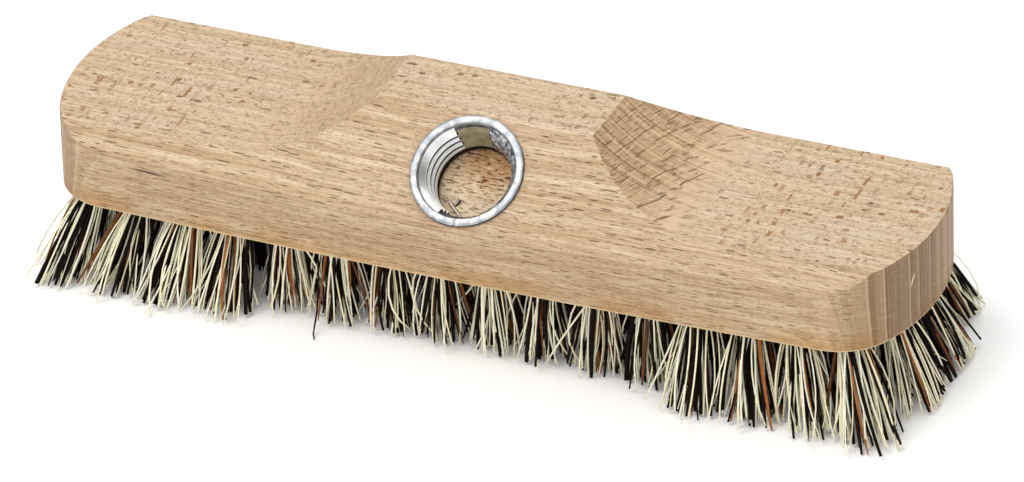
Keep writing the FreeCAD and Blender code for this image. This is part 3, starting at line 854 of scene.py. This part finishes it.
def make_socket_mesh():
    """Closed shell: rolled rim, bore wall with interrupted thread, and the outside in the wood."""
    points, faces, slots = [], [], []
    for step in range(CLOCK_STEPS):
        clock = step * 360 / CLOCK_STEPS
        wall = wall_profile(clock)
        ring = shell_ring(clock, wall)
        kinds = [kind for _, _, kind in wall[1:]] + ["shade"] * (len(SHELL_OUTSIDE) + 2)
        kinds += ["rim"] * (len(RIM_ROLL) - 1)
        count = len(ring)
        low, high = step * count, (step + 1) % CLOCK_STEPS * count
        for row, kind in enumerate(kinds):
            after = (row + 1) % count
            faces.append((low + row, high + row, high + after, low + after))
            slots.append(ZINC_SLOTS[zinc_look(kind, clock + 0.5)])
        points += ring
    return points, faces, slots


def make_socket():
    """Zinc shell, with a crease wherever two faces meet at a sharp angle."""
    points, faces, slots = make_socket_mesh()
    materials = [zinc_material(look, *settings) for look, settings in ZINC_LOOKS.items()]
    shell = make_piece("socket_shell", points, faces, materials, slots)
    shell.data.set_sharp_from_angle(angle=math.radians(38))
    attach(shell, "root")
    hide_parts("threaded_socket")


FLOOR_DEPTH = 10.6
FLOOR_RADIUS = 10.95
FLOOR_RINGS = 44
FLOOR_SPOKES = 150
# how fine, how high and how far shifted each layer of the torn wood's relief is
TORN_LAYERS = ((0.28, 0.34, 0.0), (0.62, 0.2, 9.0), (1.5, 0.1, 21.0))


def torn_height(across, along):
    """Relief of the torn wood about its mean height, in millimetres."""
    height = 0.0
    for scale, amount, shift in TORN_LAYERS:
        spot = Vector((across * scale * 0.45 + shift, along * scale * 1.7, shift * 0.37))
        height += amount * noise.noise(spot)
    return height


def floor_rise(radius, across, along):
    """How far the torn wood stands over the bottom of the bore: highest behind, low at its edge."""
    inside = held((10.5 - radius) / 1.4)
    behind = held((along + 5.0) / 3.0)
    rise = 0.15 + 0.6 * behind + (0.3 + 0.6 * behind) * torn_height(across, along)
    return max(rise, 0.05) * inside + 0.03


def make_bore_floor():
    """Rough disc of torn wood over the bottom of the bore."""
    points, faces = [], []
    for ring in range(FLOOR_RINGS + 1):
        radius = FLOOR_RADIUS * ring / FLOOR_RINGS
        for spoke in range(FLOOR_SPOKES):
            clock = 360 * spoke / FLOOR_SPOKES
            angle = math.radians(clock)
            rise = floor_rise(radius, radius * math.sin(angle), radius * math.cos(angle))
            points.append(socket_point(clock, max(radius, 0.01), rise - FLOOR_DEPTH))
    for ring in range(FLOOR_RINGS):
        low, high = ring * FLOOR_SPOKES, (ring + 1) * FLOOR_SPOKES
        for spoke in range(FLOOR_SPOKES):
            after = (spoke + 1) % FLOOR_SPOKES
            faces.append((low + spoke, low + after, high + after, high + spoke))
    faces.append(tuple(reversed(range(FLOOR_SPOKES))))
    floor = make_piece("bore_floor", points, faces, [torn_beech_material()])
    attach(floor, "root")


# ---------------------------------------------------------------- tufts


class Bundle:
    """Collects many thin bent rods into one mesh."""

    def __init__(self):
        self.points = []
        self.faces = []
        self.kinds = []

    def rod(self, line, widths, flat, sides, kind):
        """Closed rod along a line of points; flat is its second width over its first."""
        start = len(self.points)
        count = len(line)
        spin = random.uniform(0, math.tau)
        c, s = math.cos(spin), math.sin(spin)
        for index, centre in enumerate(line):
            ahead = (line[min(index + 1, count - 1)] - line[max(index - 1, 0)]).normalized()
            across = Vector((1, 0, 0)).cross(ahead).normalized()
            other = ahead.cross(across)
            for step in range(sides):
                angle = math.tau * step / sides
                u = math.cos(angle) * widths[index] / 2
                v = math.sin(angle) * widths[index] * flat / 2
                self.points.append(centre + across * (u * c - v * s) + other * (u * s + v * c))
        for index in range(count - 1):
            low = start + index * sides
            for step in range(sides):
                a, b = low + step, low + (step + 1) % sides
                self.faces.append((a, a + sides, b + sides, b))
        self.faces.append(tuple(range(start, start + sides)))
        last = start + (count - 1) * sides
        self.faces.append(tuple(reversed(range(last, last + sides))))
        self.kinds += [kind] * ((count - 1) * sides + 2)

    def make(self, name, materials):
        """The mesh object, with smooth sides and flat ends."""
        smooth = [len(face) == 4 for face in self.faces]
        return make_piece(name, self.points, self.faces, materials, self.kinds, smooth)


# thinnest and thickest fibre of a kind in millimetres, how flat it is, how much it bows, and how
# thick its end is; the kinds are in the order of their materials: cream, green, dark, russet
PALE_FIBRE = {"width": (0.36, 0.56), "flat": (0.7, 1.0), "bend": 0.9, "point": (0.75, 1.0)}
FIBRE_KINDS = (
    PALE_FIBRE,
    PALE_FIBRE,
    {"width": (0.7, 1.4), "flat": (0.4, 0.8), "bend": 0.5, "point": (0.5, 1.0)},
    {"width": (0.7, 1.3), "flat": (0.35, 0.6), "bend": 0.5, "point": (0.15, 0.7)},
)
CREAM, DARK, RUSSET = 0, 2, 3
DARK_KINDS = (DARK, RUSSET)

# both ends of a kind's range of tones, roughness, gloss, and for one how much it is streaked
FIBRE_LOOKS = {
    "cream_fibre": (rgb(255, 251, 232), rgb(222, 206, 150), 0.45, 0.4),
    "green_fibre": (rgb(246, 247, 228), rgb(190, 190, 142), 0.45, 0.4),
    "dark_fibre": (rgb(4, 3, 2), rgb(32, 17, 10), 0.5, 0.08),
    "russet_fibre": (rgb(190, 118, 62), rgb(48, 22, 11), 0.5, 0.2, 0.75),
}

# share of each kind in the tufts of the outer rows, at both ends of them, and of the inner rows
OUTER_SHARES = (0.35, 0.14, 0.36, 0.15)
LEFT_SHARES = (0.38, 0.14, 0.38, 0.10)
RIGHT_SHARES = (0.43, 0.12, 0.38, 0.07)
# the inner rows are mostly dark fibre, partly as painted shade deep in the brush
INNER_SHARES = (0.12, 0.06, 0.70, 0.12)
END_ZONE = 84 * MM
OUTER_FIBRES = 104
INNER_FIBRES = 130

# spread of the fibre ends along the row, and how far they may stand out over the tuft's tip
INNER_SPLAY = (3.8, 1.9)
OUTER_SPLAY = (2.3, 1.4)
ROW_WANDER = 1.2
STRAY_CHANCE = 0.08
STRAY_WANDER = 2.2
BOWED_CHANCE = 0.12
BOWED_MORE = 2.4
HAIR_CHANCE = 0.4

# how far the fibres reach to the left and right, and how much less the dark ones and the back do
END_REACH = (110.5 * MM, 114.5 * MM)
DARK_SHORTER = (3.5 * MM, 0.8 * MM)
BACK_SHORTER = 0.28
BACK_START = 10 * MM

# how far the dark fibres are set back behind the pale ones, at the hole and at the tip, partly as
# painted shade behind them
DARK_ROOT_BACK = 0.5 * MM
DARK_TIP_BACK = 1.6 * MM

# heights over the floor in millimetres: the least one, and how much it varies
LEAST_LIFT = 0.35
LIFT = 0.9
STRAY_LIFT = 3.0

ROOT_DEPTH = 2.0 * MM
ROOT_RADIUS = 3.0 * MM
WIDEST_TIP = 5.6 * MM
FIBRE_SIDES = 5
FIBRE_RINGS = 7

HAIR_ROOT_RADIUS = 2.5 * MM
HAIR_REACH = 9.0 * MM
HAIR_LOW, HAIR_HIGH = 1.0 * MM, 9.0 * MM
HAIR_BOWS = (2.5, 2.5, 1.5)
HAIR_CURL = 1.4
HAIR_RINGS = 12
HAIR_SIDES = 4
HAIR_WIDTH = 0.2 * MM

# places and widths along the dark fibre that droops in front of one tuft, in millimetres
DROOPING_TUFT = "tuft_front_06"
DROOPING_LINE = (
    (-37.0, -26.5, 20.0), (-36.2, -28.6, 12.0), (-35.8, -31.0, 5.0),
    (-35.8, -32.8, 1.9), (-35.4, -34.4, 0.8), (-34.6, -35.8, 0.4),
)
DROOPING_WIDTHS = (0.5, 0.55, 0.55, 0.5, 0.45, 0.3)
DROOPING_SIDES = 6


def tuft_axis(node):
    """(mouth centre, tip centre, tip radius) of a tuft's CAD solid."""
    points = [vertex.co for vertex in frame["nodes"][node].data.vertices]
    low = [point for point in points if point.z < 0.1 * MM]
    high = [point for point in points if point.z > UNDERSIDE + 2 * MM]
    tip = sum(low, Vector()) / len(low)
    deep = sum(high, Vector()) / len(high)
    mouth = tip + (deep - tip) * ((UNDERSIDE - tip.z) / (deep.z - tip.z))
    tip_radius = max((point - tip).length for point in low)
    return mouth, tip, min(tip_radius, WIDEST_TIP)


def pick_kind(shares):
    """Random kind of fibre, by the share that each kind has."""
    draw = random.random()
    for kind, share in enumerate(shares):
        draw -= share
        if draw < 0:
            return kind
    return 0


def disc_point():
    """Random point of a unit disc."""
    angle, reach = random.uniform(0, math.tau), math.sqrt(random.random())
    return Vector((math.cos(angle), math.sin(angle), 0)) * reach


def fibre_end(tip, spread, splay, stray, dark):
    """Where a fibre ends: near its tuft's tip, within the reach of the row, close to the floor."""
    wander = Vector((random.gauss(0, splay), random.gauss(0, ROW_WANDER), 0)) * MM
    if stray and not dark:
        wander = wander * STRAY_WANDER
    end = tip + spread + wander
    # the fan at each end reaches less far behind, and its dark fibres less far than its pale ones
    shorter = BACK_SHORTER * max(0.0, tip.y - BACK_START)
    if dark:
        shorter += DARK_SHORTER[0] if tip.x < 0 else DARK_SHORTER[1]
    end.x = max(shorter - END_REACH[0], min(END_REACH[1] - shorter, end.x))
    if dark:
        # the dark fibres stand more towards the middle of the brush, behind the pale ones, partly as
        # painted shade there
        end.y -= math.copysign(DARK_TIP_BACK, tip.y)
    lift = abs(random.gauss(0, LIFT)) + (random.uniform(0, STRAY_LIFT) if stray else 0.0)
    end.z = (LEAST_LIFT + lift) * MM
    return end


def add_fibre(bundle, tuft, shares, splay):
    """One fibre from inside the hole to a cut end near the floor."""
    mouth, tip, tip_radius = tuft
    side_wander, looseness = splay
    kind = pick_kind(shares)
    dark = kind in DARK_KINDS
    facts = FIBRE_KINDS[kind]
    spot = disc_point()
    start = mouth + spot * ROOT_RADIUS + Vector((0, 0, ROOT_DEPTH))
    # dark fibres start set back, partly as painted shade behind the pale ones
    if dark:
        start.y -= math.copysign(DARK_ROOT_BACK, tip.y)
    stray = random.random() < STRAY_CHANCE
    spread = spot * tip_radius * random.uniform(0.85, looseness)
    end = fibre_end(tip, spread, side_wander, stray, dark)
    bow = Vector((random.gauss(0, 1), random.gauss(0, 1), 0)) * facts["bend"] * MM
    if random.random() < BOWED_CHANCE:
        bow = bow * BOWED_MORE
    shares_along = [index / (FIBRE_RINGS - 1) for index in range(FIBRE_RINGS)]
    line = [start + (end - start) * share + bow * (4 * share * (1 - share)) for share in shares_along]
    width = random.uniform(*facts["width"]) * MM
    point = random.uniform(*facts["point"])
    widths = [width * (1 - (1 - point) * share ** 3) for share in shares_along]
    bundle.rod(line, widths, random.uniform(*facts["flat"]), FIBRE_SIDES, kind)


def add_hair(bundle, tuft):
    """Thin curly hair that has come loose beside a tuft."""
    mouth, tip, _ = tuft
    start = mouth + disc_point() * HAIR_ROOT_RADIUS + Vector((0, 0, ROOT_DEPTH / 2))
    end = tip + disc_point() * HAIR_REACH
    end.z = random.uniform(HAIR_LOW, HAIR_HIGH)
    bow = Vector([random.gauss(0, spread) for spread in HAIR_BOWS]) * MM
    line = []
    for index in range(HAIR_RINGS):
        share = index / (HAIR_RINGS - 1)
        line.append(start + (end - start) * share + bow * math.sin(math.pi * share * HAIR_CURL))
    bundle.rod(line, [HAIR_WIDTH] * HAIR_RINGS, 1.0, HAIR_SIDES, CREAM)


def add_drooping_fibre(bundle):
    """Dark curled fibre that hangs out in front of the row and rests on the floor."""
    line = [Vector(place) * MM for place in DROOPING_LINE]
    widths = [width * MM for width in DROOPING_WIDTHS]
    bundle.rod(line, widths, 0.8, DROOPING_SIDES, DARK)


def make_tufts(materials):
    """Loose fibres in place of every CAD tuft."""
    for node in sorted(frame["nodes"]):
        if not node.startswith("tuft_"):
            continue
        tuft = tuft_axis(node)
        tip = tuft[1]
        inner = node.startswith("tuft_inner")
        shares = INNER_SHARES if inner else OUTER_SHARES
        if abs(tip.x) > END_ZONE:
            shares = LEFT_SHARES if tip.x < 0 else RIGHT_SHARES
        bundle = Bundle()
        for _ in range(INNER_FIBRES if inner else OUTER_FIBRES):
            add_fibre(bundle, tuft, shares, INNER_SPLAY if inner else OUTER_SPLAY)
        if random.random() < HAIR_CHANCE:
            add_hair(bundle, tuft)
        if node == DROOPING_TUFT:
            add_drooping_fibre(bundle)
        piece = bundle.make(node.replace("tuft", "bristle"), materials)
        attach(piece, "root")
        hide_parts(node)


# ---------------------------------------------------------------- scene


def dress(node, material):
    """Gives a CAD node its material."""
    mesh = frame["nodes"][node].data
    mesh.materials.clear()
    mesh.materials.append(material)


make_camera()
make_stage()
dress("block", beech_material())
dress("staples", wire_material())
make_socket()
make_bore_floor()
make_tufts([fibre_material(name, *look) for name, look in FIBRE_LOOKS.items()])
